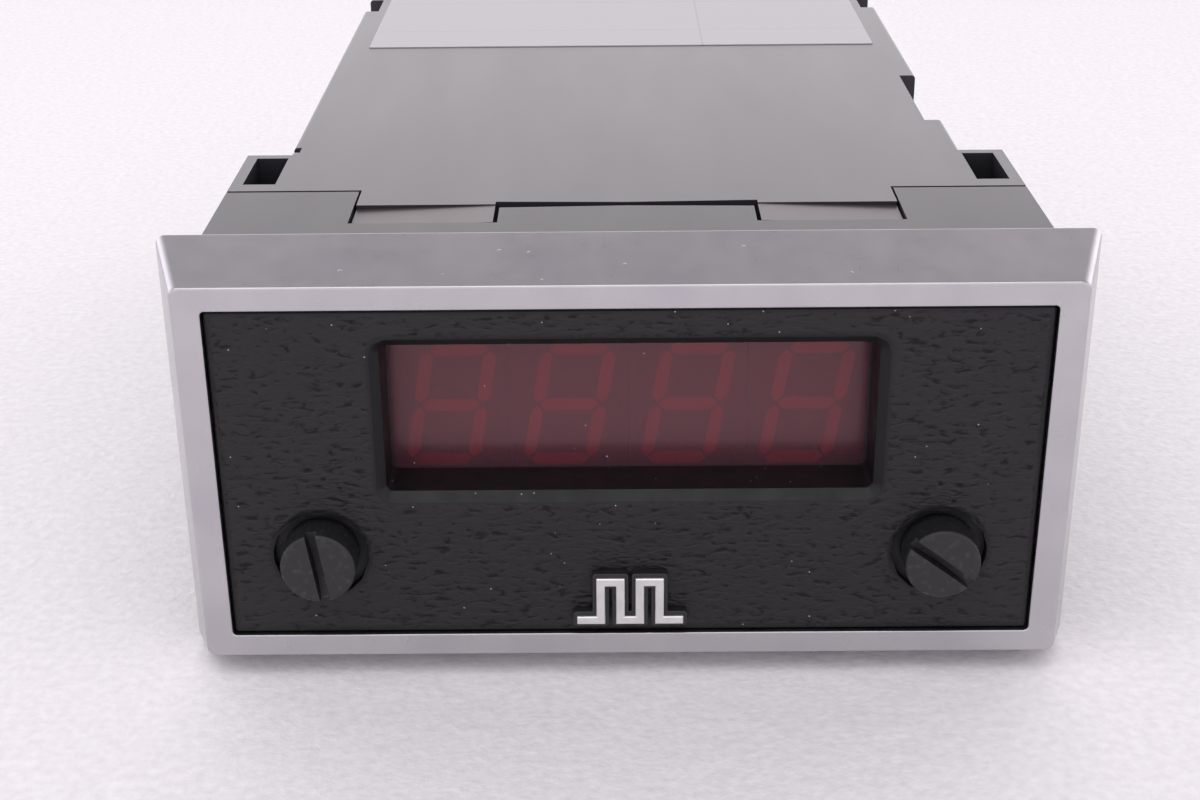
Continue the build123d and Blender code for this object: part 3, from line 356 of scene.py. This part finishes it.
NODE_FINISH = {
    "display_window": FILTER_RED,
    "rating_label": LABEL,
    "display_board": BOARD_UPRIGHT,
    "main_board": BOARD_FLAT,
    "display_screws": BRIGHT_ZINC,
    "terminal_screws": BRIGHT_ZINC,
    "regulator_screw": BRIGHT_ZINC,
    "regulator_nut": BRIGHT_ZINC,
    "retaining_clip_left": SPRING_STEEL,
    "retaining_clip_right": SPRING_STEEL,
    "fuse_clips": SPRING_STEEL,
    "threaded_inserts": TURNED_BRASS,
    "driver_circuits": CHIP_EPOXY,
    "counter_circuit": CHIP_EPOXY,
    "processor_circuit": CHIP_EPOXY,
    "logic_circuits": CHIP_EPOXY,
    "bridge_rectifier": CHIP_EPOXY,
    "regulator": CHIP_EPOXY,
    "counter_socket": SMOOTH_BLACK,
    "board_connector": SMOOTH_BLACK,
    "transformer_base": SMOOTH_BLACK,
    "dip_switch_body": SWITCH_BLUE,
    "trimmer_body": SWITCH_BLUE,
    "trimmer_rotor": NYLON_WHITE,
    "crystal": CAN_METAL,
    "transformer_winding": WINDING_TAPE,
    "filter_capacitor_large": SLEEVE_BLUE,
    "filter_capacitor_small": SLEEVE_BLUE,
    "heat_sink": BLACK_ANODISED,
    "fuse": FUSE_BODY,
    "resistors": RESISTOR_TAN,
    "ceramic_capacitors": CERAMIC_ORANGE,
}
for number in range(1, 9):
    NODE_FINISH[f"dip_slider_{number}"] = NYLON_WHITE
for number in range(1, 5):
    NODE_FINISH[f"digit_{number}"] = DIGIT_FACE


def paint(piece, material):
    """Gives a piece one material."""
    piece.data.materials.clear()
    piece.data.materials.append(material)


for name, material in NODE_FINISH.items():
    paint(frame["nodes"][name], material)


# ---------------------------------------------------------------- mesh aids
SAME_SPOT = 0.002           # millimetres between vertices that are one
SAME_PLANE, SMOOTH_UP_TO = 0.5, 50      # degrees between faces that are one, and that shade as one surface


def merged(name):
    """The shape of a CAD node as a clean mesh: joined facets, flat areas in one face each."""
    shape = bmesh.new()
    shape.from_mesh(frame["nodes"][name].data)
    bmesh.ops.remove_doubles(shape, verts=shape.verts, dist=SAME_SPOT * MM)
    bmesh.ops.dissolve_limit(shape, angle_limit=math.radians(SAME_PLANE), verts=shape.verts,
                             edges=shape.edges)
    return shape


def round_edges(shape, width, least_angle=30.0, segments=2):
    """Rounds every edge that is sharper than least_angle, in degrees."""
    sharp = [e for e in shape.edges if e.is_manifold and e.calc_face_angle(0) > math.radians(least_angle)]
    bmesh.ops.bevel(shape, geom=sharp, offset=width * MM, segments=segments, profile=0.5, affect="EDGES",
                    clamp_overlap=True)


def settled(piece):
    """Bakes a piece's modifiers into a plain mesh."""
    evaluated = piece.evaluated_get(bpy.context.evaluated_depsgraph_get())
    old, piece.data = piece.data, bpy.data.meshes.new_from_object(evaluated)
    piece.modifiers.clear()
    bpy.data.meshes.remove(old)


def object_from(shape, name, *materials):
    """Turns a bmesh into an object with smooth faces, flat areas kept flat by weighted normals."""
    bmesh.ops.triangulate(shape, faces=[f for f in shape.faces if len(f.verts) > 4])
    mesh = bpy.data.meshes.new(name)
    shape.to_mesh(mesh)
    shape.free()
    mesh.polygons.foreach_set("use_smooth", [True] * len(mesh.polygons))
    mesh.set_sharp_from_angle(angle=math.radians(SMOOTH_UP_TO))
    piece = bpy.data.objects.new(name, mesh)
    bpy.context.scene.collection.objects.link(piece)
    for material in materials:
        mesh.materials.append(material)
    normals = piece.modifiers.new("flat areas", "WEIGHTED_NORMAL")
    normals.keep_sharp = True
    settled(piece)
    return piece


def stand(piece, body, slot, *nodes):
    """Says what a finished piece rides on and hides the CAD nodes it stands for; slot is not used."""
    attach(piece, body)
    if nodes:
        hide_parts(*nodes)
    return piece


def body_of(node_name):
    """The body that a CAD node moves with."""
    return frame["nodes"][node_name]["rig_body"]


def softened(node_name, name, material, slot, width, segments=2):
    """A CAD node's shape with its edges slightly rounded, standing for that node."""
    shape = merged(node_name)
    round_edges(shape, width, segments=segments)
    return stand(object_from(shape, name, material), body_of(node_name), slot, node_name)


def box(shape, low, high):
    """Adds a box between two corners, in millimetres from the middle of the rim."""
    size = [(b - a) * MM for a, b in zip(low, high)]
    centre = Vector(((low[0] + high[0]) / 2, (low[1] + high[1]) / 2, (low[2] + high[2]) / 2)) * MM
    spot = Matrix.Translation(Vector((0, RIM, MID)) + centre) @ Matrix.Diagonal((*size, 1))
    return bmesh.ops.create_cube(shape, size=1, matrix=spot)["verts"]


# ---------------------------------------------------------------- geometry trees
def new_tree(name, **inputs):
    """An empty geometry tree with named inputs; gives it, its input sockets and its output node."""
    tree = bpy.data.node_groups.new(name, "GeometryNodeTree")
    tree.interface.new_socket("Geometry", in_out="INPUT", socket_type="NodeSocketGeometry")
    for label, kind in inputs.items():
        tree.interface.new_socket(label.replace("_", " "), in_out="INPUT", socket_type=f"NodeSocket{kind}")
    tree.interface.new_socket("Geometry", in_out="OUTPUT", socket_type="NodeSocketGeometry")
    return tree, node(tree, "NodeGroupInput").outputs, node(tree, "NodeGroupOutput")


def grow(piece, tree, **values):
    """Runs a geometry tree on a piece and keeps the result as its plain mesh."""
    modifier = piece.modifiers.new(tree.name, "NODES")
    modifier.node_group = tree
    for item in tree.interface.items_tree:
        if item.in_out == "INPUT" and item.name.replace(" ", "_") in values:
            modifier[item.identifier] = values[item.name.replace(" ", "_")]
    settled(piece)
    return piece


def row_tree():
    """Repeats the incoming shape Count times, one Step apart."""
    tree, given, out = new_tree("row_of_equal_parts", Count="Int", Step="Vector", Finish="Material")
    line = node(tree, "GeometryNodeMeshLine", links={"Count": given["Count"], "Offset": given["Step"]})
    placed = node(tree, "GeometryNodeInstanceOnPoints",
                  links={"Points": line.outputs["Mesh"], "Instance": given["Geometry"]})
    solid = node(tree, "GeometryNodeRealizeInstances", links={"Geometry": placed.outputs["Instances"]})
    painted = node(tree, "GeometryNodeSetMaterial",
                   links={"Geometry": solid.outputs["Geometry"], "Material": given["Finish"]})
    tree.links.new(painted.outputs["Geometry"], out.inputs["Geometry"])
    return tree


def grain_tree():
    """Presses a moulded grain into a skin: short flat ripples, as deep as the fade attribute allows."""
    tree, given, out = new_tree("etched_leather_grain", Depth="Float", Ripple_Length="Float",
                                Ripple_Height="Float", Seed="Float", Finish="Material")
    size = node(tree, "ShaderNodeCombineXYZ",
                links={"X": given["Ripple Length"], "Y": given["Ripple Length"], "Z": given["Ripple Height"]})
    spot = node(tree, "GeometryNodeInputPosition").outputs["Position"]
    scaled = node(tree, "ShaderNodeVectorMath", links={0: spot, 1: size.outputs["Vector"]},
                  operation="DIVIDE")
    ripple = node(tree, "ShaderNodeTexNoise", GRAIN_NOISE,
                  {"Vector": scaled.outputs["Vector"], "W": given["Seed"]}, noise_dimensions="4D")
    fade = node(tree, "GeometryNodeInputNamedAttribute", {"Name": "fade"}, data_type="FLOAT")
    sunk = node(tree, "ShaderNodeMath",
                links={0: hollows_of(tree, ripple.outputs["Fac"]), 1: fade.outputs["Attribute"]},
                operation="MULTIPLY")
    depth = node(tree, "ShaderNodeMath", links={0: sunk.outputs[0], 1: given["Depth"]}, operation="MULTIPLY")
    inward = node(tree, "ShaderNodeCombineXYZ", links={"Y": depth.outputs[0]})
    pressed = node(tree, "GeometryNodeSetPosition",
                   links={"Geometry": given["Geometry"], "Offset": inward.outputs["Vector"]})
    solid = node(tree, "GeometryNodeRealizeInstances", links={"Geometry": pressed.outputs["Geometry"]})
    painted = node(tree, "GeometryNodeSetMaterial",
                   links={"Geometry": solid.outputs["Geometry"], "Material": given["Finish"]})
    tree.links.new(painted.outputs["Geometry"], out.inputs["Geometry"])
    return tree


ROW = row_tree()
GRAIN_TREE = grain_tree()


# ---------------------------------------------------------------- bezel
def rounded_ring(shape, width, height, radius, depth, steps=6):
    """One loop of vertices: a rounded rectangle round the middle of the rim; millimetres."""
    loop = []
    for corner, (side, up) in enumerate(((1, 1), (-1, 1), (-1, -1), (1, -1))):
        for step in range(steps + 1):
            angle = math.radians(90 * (corner + step / steps))
            x = side * (width / 2 - radius) + radius * math.cos(angle)
            z = up * (height / 2 - radius) + radius * math.sin(angle)
            loop.append(shape.verts.new((x * MM, RIM + depth * MM, MID + z * MM)))
    return loop


def eased(profile, steps=3):
    """Rounds each corner of a closed section; its last value is how far the rounding reaches."""
    points = []
    for index, corner in enumerate(profile):
        here, reach = Vector(corner[:4]), corner[4]
        before, after = Vector(profile[index - 1][:4]), Vector(profile[(index + 1) % len(profile)][:4])
        ends = []
        for other in (before, after):
            run = other - here
            ends.append(here + run * min(0.4, reach / math.hypot(run[0] / 2, run[3])))
        for step in range(steps + 1):
            t = step / steps
            points.append(ends[0] * (1 - t) ** 2 + here * 2 * t * (1 - t) + ends[1] * t ** 2)
    return points


BEZEL_RIM, BEZEL_MOUTH, BEZEL_POCKET = (92.4, 43.0), (86.5, 37.9), (91.1, 44.36)     # width and height
POCKET_FRONT = 5.0          # behind the rim; the housing enters the pocket from behind


def die_cast_bezel():
    """A flared frame of one section, swept round the opening."""
    depth, back = (bezel_high - bezel_low).y / MM, (bezel_high - bezel_low) / MM
    # width, height, corner radius, depth behind the rim, and how far the corner of the section is rounded
    section = [(back.x, back.z, 1.0, depth, 0.15), (*BEZEL_RIM, 1.0, 0.0, 0.28),
               (*BEZEL_MOUTH, 0.5, 0.0, 0.18), (*BEZEL_MOUTH, 0.5, POCKET_FRONT, 0.1),
               (*BEZEL_POCKET, 0.1, POCKET_FRONT, 0.1), (*BEZEL_POCKET, 0.1, depth, 0.12)]
    shape = bmesh.new()
    rings = [rounded_ring(shape, *point) for point in eased(section)]
    for ring, following in zip(rings, rings[1:] + rings[:1]):
        for index in range(len(ring)):
            after = (index + 1) % len(ring)
            shape.faces.new((ring[index], ring[after], following[after], following[index]))
    bmesh.ops.recalc_face_normals(shape, faces=shape.faces)
    return stand(object_from(shape, "bezel_casting", SATIN_METAL), body_of("bezel_frame"), "bezel_metal",
                 "bezel_frame")


die_cast_bezel()

# ---------------------------------------------------------------- casings
SOFTENED = (    # CAD node, piece, finish, slot, and radius of its edges in millimetres
    ("front_housing", "housing_moulding", HOUSING_BLACK, "case_plastic", 0.12),
    ("rear_cover", "cover_moulding", CASE_BLACK, "case_plastic", 0.15),
    ("terminal_block_power", "power_terminal_moulding", TERMINAL_GREEN, "terminal_green", 0.12),
    ("terminal_block_signal", "signal_terminal_moulding", TERMINAL_GREEN, "terminal_green", 0.12),
    ("badge_base", "badge_backing", SMOOTH_BLACK, "black_plastic", 0.1),
    ("badge_mark", "badge_face", BADGE_SILVER, "badge_silver", 0.04),
    ("panel_screw_left", "coin_screw_left", SCREW_BLACK, "screw_black", 0.1),
    ("panel_screw_right", "coin_screw_right", SCREW_BLACK, "screw_black", 0.1),
)
for row in SOFTENED:
    softened(*row)

TONGUE_TIP_BACK = 23.8      # behind the rim, in millimetres
TONGUE_TIP_X = (14.7, 29.9)  # from the middle, on both sides


def case_shell():
    """The long case; the outer faces of its tongues' tips are a little duller, and painted a lighter, browner
    grey as a painted sheen.
    """
    shape = merged("rear_case")
    round_edges(shape, 0.12)
    for face in shape.faces:
        centre = face.calc_center_median()
        on_tip = TONGUE_TIP_X[0] < abs(centre.x) / MM < TONGUE_TIP_X[1] and abs(face.normal.z) > 0.99
        face.material_index = int(on_tip and centre.y < RIM + TONGUE_TIP_BACK * MM)
    piece = object_from(shape, "case_shell", CASE_BLACK, TIP_PAINTED_SHEEN)
    return stand(piece, body_of("rear_case"), "case_plastic", "rear_case")


case_shell()

# ---------------------------------------------------------------- front panel with its grain
GRAIN_DEPTH = 0.09          # millimetres, as all here
GRAIN_CELL = (0.28, 0.18)   # between the vertices that carry the grain, across and up
FADE_WIDTH = 0.5            # of the smooth edge round the grain
PANEL_MARGIN = 0.3          # of the panel's rounded outer edge
CELL_ROOM, SKIN_OVERHANG = 0.12, 0.1    # how clear of an edge a vertex stays, and how far a face may pass it
SCREW_SPOTS = ((-33.0, -9.3), (33.0, -9.3))
RECESS_R = 5.05
MOUTH = (26.65, -3.05, 15.65, 1.8)  # of the window: half width, bottom, top and corner radius


def beside_mouth(x, z):
    """Distance in millimetres from the window's rounded mouth; negative inside it."""
    half_w, bottom, top, radius = MOUTH
    across = abs(x) - half_w + radius
    up = abs(z - (bottom + top) / 2) - (top - bottom) / 2 + radius
    return math.hypot(max(across, 0), max(up, 0)) + min(max(across, up), 0) - radius


def room_for_grain(x, z):
    """Distance in millimetres from the nearest edge of the panel's face; negative off the face."""
    half_w, half_h = (panel_high.x - panel_low.x) / 2 / MM, (panel_high.z - panel_low.z) / 2 / MM
    edge = min(half_w - abs(x), half_h - abs(z)) - PANEL_MARGIN
    recess = min(math.hypot(x - sx, z - sz) for sx, sz in SCREW_SPOTS) - RECESS_R
    return min(edge, beside_mouth(x, z), recess)


def skin_over(shape, surface):
    """Fills the open front of a shape with a fine even mesh that takes the grain."""
    fade = shape.verts.layers.float.new("fade")
    rim = [e for e in shape.edges if e.is_boundary]
    rim_verts = list(dict.fromkeys(v for e in rim for v in e.verts))      # each once, in a fixed order
    number = {v: i for i, v in enumerate(rim_verts)}
    flat = [Vector((v.co.x, v.co.z)) for v in rim_verts]
    lines = [(number[e.verts[0]], number[e.verts[1]]) for e in rim]
    rows = int((panel_high.z - panel_low.z) / MM / GRAIN_CELL[1])
    columns = int((panel_high.x - panel_low.x) / MM / GRAIN_CELL[0])
    for row in range(-rows // 2, rows // 2 + 1):
        for column in range(-columns // 2, columns // 2 + 1):
            x, z = (column + row % 2 / 2) * GRAIN_CELL[0], row * GRAIN_CELL[1]
            if room_for_grain(x, z) > CELL_ROOM:
                flat.append(Vector((x * MM, z * MM + MID)))
    spots, _, faces, origin, _, _ = delaunay_2d_cdt(flat, lines, [], 1, 1e-8)
    corners = []
    for spot, sources in zip(spots, origin):
        old = [s for s in sources if s < len(rim_verts)]
        corner = rim_verts[old[0]] if old else shape.verts.new((spot.x, surface, spot.y))
        room = room_for_grain(spot.x / MM, (spot.y - MID) / MM)
        corner[fade] = 0.0 if old else min(1.0, max(0.0, room / FADE_WIDTH))
        corners.append(corner)
    for face in faces:
        middle = sum((spots[i] for i in face), Vector((0, 0))) / len(face)
        if room_for_grain(middle.x / MM, (middle.y - MID) / MM) > -SKIN_OVERHANG:
            shape.faces.new([corners[i] for i in face])


def grained_front():
    """The front panel; its flat face carries the etched grain as real hollows."""
    shape = merged("front_panel")
    round_edges(shape, 0.06)
    surface = panel_low.y
    front = [f for f in shape.faces
             if f.normal.y < -0.999 and abs(f.calc_center_median().y - surface) < 0.01 * MM]
    bmesh.ops.delete(shape, geom=front, context="FACES")
    skin_over(shape, surface)
    piece = grow(object_from(shape, "panel_moulding", GRAIN), GRAIN_TREE, Depth=GRAIN_DEPTH * MM,
                 Ripple_Length=GRAIN_RIPPLE[0] * MM, Ripple_Height=GRAIN_RIPPLE[1] * MM, Seed=GRAIN_SEED,
                 Finish=GRAIN)
    return stand(piece, body_of("front_panel"), "grained_plastic", "front_panel")


grained_front()

# ---------------------------------------------------------------- figures behind the window
POINT_SPOT = (4.25, -6.55)  # of the decimal point, from the middle of its figure
POINT_REACH = 1.1


def unlit_figure(digit):
    """Seven faint red bars; the decimal point is as dull as the face round it."""
    name = f"digit_{digit}_segments"
    low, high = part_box(f"digit_{digit}")
    middle = (low + high) / 2
    shape = merged(name)
    for face in shape.faces:
        centre = face.calc_center_median() - middle
        off = math.hypot(centre.x / MM - POINT_SPOT[0], centre.z / MM - POINT_SPOT[1])
        face.material_index = int(off < POINT_REACH)
    piece = object_from(shape, f"figure_{digit}", UNLIT_RED, DIGIT_FACE)
    return stand(piece, body_of(name), "segment_red", name)


for digit in range(1, 5):
    unlit_figure(digit)

# ---------------------------------------------------------------- transformer laminations
PLATE_PITCH, PLATE_GAP = 0.5, 0.09


def laminated_core():
    """The transformer's stack of thin plates, one tree repeating the first."""
    length = (core_high.y - core_low.y) / MM
    shape = merged("transformer_core")
    thin = (PLATE_PITCH - PLATE_GAP) / length
    for vert in shape.verts:
        vert.co.y = core_low.y + (vert.co.y - core_low.y) * thin
    piece = grow(object_from(shape, "laminated_core", LAMINATIONS), ROW, Count=round(length / PLATE_PITCH),
                 Step=(0, PLATE_PITCH * MM, 0), Finish=LAMINATIONS)
    return stand(piece, body_of("transformer_core"), "lamination_steel", "transformer_core")


laminated_core()

# ---------------------------------------------------------------- terminals
# Millimetres from the middle of the rim. Each block's centre, pitch, number of ways and first number.
TERMINALS = {"power": (-24.5, 7.62, 3, 9), "signal": (15.3, 5.08, 8, 1)}
ENTRY_UP, CLAMP_FRONT, CLAMP_BACK = -10.4, 136.4, 143.6
CLAMP_HALF_WIDTH = 1.4
CLAMP_PLATES = ((-1.55, -1.15), (0.95, 1.35))          # bottom and top of each plate, from the entry's middle
NUMBER_UP, NUMBER_HIGH, INK_THICK = 0.55, 2.0, 0.02


def wire_clamps(use, centre, pitch, count):
    """In each wire entry a pressed plate above and below the wire."""
    first = centre - (count - 1) / 2 * pitch
    shape = bmesh.new()
    for bottom, top in CLAMP_PLATES:
        box(shape, (first - CLAMP_HALF_WIDTH, CLAMP_FRONT, ENTRY_UP + bottom),
            (first + CLAMP_HALF_WIDTH, CLAMP_BACK, ENTRY_UP + top))
    round_edges(shape, 0.1)
    piece = grow(object_from(shape, f"{use}_wire_clamps", BRIGHT_ZINC), ROW, Count=count,
                 Step=(pitch * MM, 0, 0), Finish=BRIGHT_ZINC)
    return stand(piece, "case", "zinc_steel")


def terminal_numbers():
    """Plain figures printed on the rear cover above the terminals, read from behind."""
    facing_back = Matrix(((-1, 0, 0), (0, 0, 1), (0, 1, 0))).to_4x4()
    shape = bmesh.new()
    for centre, pitch, count, lowest in TERMINALS.values():
        for way in range(count):
            text = bpy.data.curves.new("figure", "FONT")
            text.body = str(lowest + count - 1 - way)
            text.size, text.align_x, text.extrude = NUMBER_HIGH * MM, "CENTER", INK_THICK * MM
            holder = bpy.data.objects.new("figure", text)
            bpy.context.scene.collection.objects.link(holder)
            evaluated = holder.evaluated_get(bpy.context.evaluated_depsgraph_get())
            figure = bpy.data.meshes.new_from_object(evaluated)
            x = (centre + (way - (count - 1) / 2) * pitch) * MM
            spot = Vector((x, cover_back, MID + NUMBER_UP * MM))
            figure.transform(Matrix.Translation(spot) @ facing_back)
            shape.from_mesh(figure)
            bpy.data.meshes.remove(figure)
            bpy.data.objects.remove(holder)
            bpy.data.curves.remove(text)
    return stand(object_from(shape, "terminal_numbers", MARK_WHITE), "case", "nylon_white")


for use, (centre, pitch, count, _) in TERMINALS.items():
    wire_clamps(use, centre, pitch, count)
terminal_numbers()


# ---------------------------------------------------------------- floor, light and camera
def lay_floor():
    """A sheet so wide that its edges never show."""
    bpy.ops.mesh.primitive_plane_add(size=6, location=(0, 0, 0))
    floor = bpy.context.object
    floor.name = "foam_floor"
    paint(floor, foam_floor())


CEILING, WALL_FRONT, WALL_BACK = 0.47, 0.74, 1.74      # brightness; the walls' comes on top of the ceiling's
LAMP_WIDE, LAMP_DEEP, LAMP_POWER = 0.9, 0.5, 2.2       # metres and watts


def light_studio():
    """A bright window band low at the back, dimmer walls, a dim ceiling, and one soft box high in front."""
    world = bpy.data.worlds.new("studio")
    bpy.context.scene.world = world
    world.use_nodes = True
    tree = world.node_tree
    direction = node(tree, "ShaderNodeTexCoord").outputs["Generated"]
    axes = node(tree, "ShaderNodeSeparateXYZ", links={"Vector": direction}).outputs
    behind = node(tree, "ShaderNodeMapRange", {"From Min": -0.1, "From Max": 0.75}, {"Value": axes["Y"]},
                  interpolation_type="SMOOTHSTEP")
    low = node(tree, "ShaderNodeMapRange", {"From Min": 0.85, "From Max": 0.36}, {"Value": axes["Z"]},
               interpolation_type="SMOOTHSTEP")
    wall = node(tree, "ShaderNodeMapRange", {"To Min": WALL_FRONT, "To Max": WALL_BACK},
                {"Value": behind.outputs["Result"]})
    raised = node(tree, "ShaderNodeMath", links={0: wall.outputs["Result"], 1: low.outputs["Result"]},
                  operation="MULTIPLY")
    strength = node(tree, "ShaderNodeMath", {1: CEILING}, {0: raised.outputs[0]}, operation="ADD")
    background = tree.nodes["Background"]
    background.inputs["Color"].default_value = linear("#FFFAFE")
    tree.links.new(strength.outputs[0], background.inputs["Strength"])
    lamp = bpy.data.lights.new("soft_box", "AREA")
    lamp.shape, lamp.size, lamp.size_y, lamp.energy = "RECTANGLE", LAMP_WIDE, LAMP_DEEP, LAMP_POWER
    holder = bpy.data.objects.new("soft_box", lamp)
    bpy.context.scene.collection.objects.link(holder)
    holder.location = (-0.1, RIM - 0.32, 0.75)
    holder.rotation_euler = (Vector((0, RIM, 0)) - holder.location).to_track_quat("-Z", "Y").to_euler()


def add_camera(lens=55.716, target=(-3.035, 0, 8.956), azimuth=0.306, elevation=24.559, roll=-0.548,
               distance=190.558):
    """Looks at a point given in millimetres from the middle of the rim; angles in degrees."""
    data = bpy.data.cameras.new("camera")
    data.lens, data.sensor_width = lens, 36
    data.clip_start = 0.01
    camera = bpy.data.objects.new("camera", data)
    bpy.context.scene.collection.objects.link(camera)
    a, e, r = (math.radians(angle) for angle in (azimuth, elevation, roll))
    forward = Vector((-math.sin(a) * math.cos(e), math.cos(a) * math.cos(e), -math.sin(e)))
    level = forward.cross(Vector((0, 0, 1))).normalized()
    upright = level.cross(forward)
    right = level * math.cos(r) + upright * math.sin(r)
    up = upright * math.cos(r) - level * math.sin(r)
    eye = Vector((0, RIM, MID)) + Vector(target) * MM - forward * distance * MM
    camera.matrix_world = Matrix((right, up, -forward)).transposed().to_4x4()
    camera.location = eye
    bpy.context.scene.camera = camera


lay_floor()
light_studio()
add_camera()
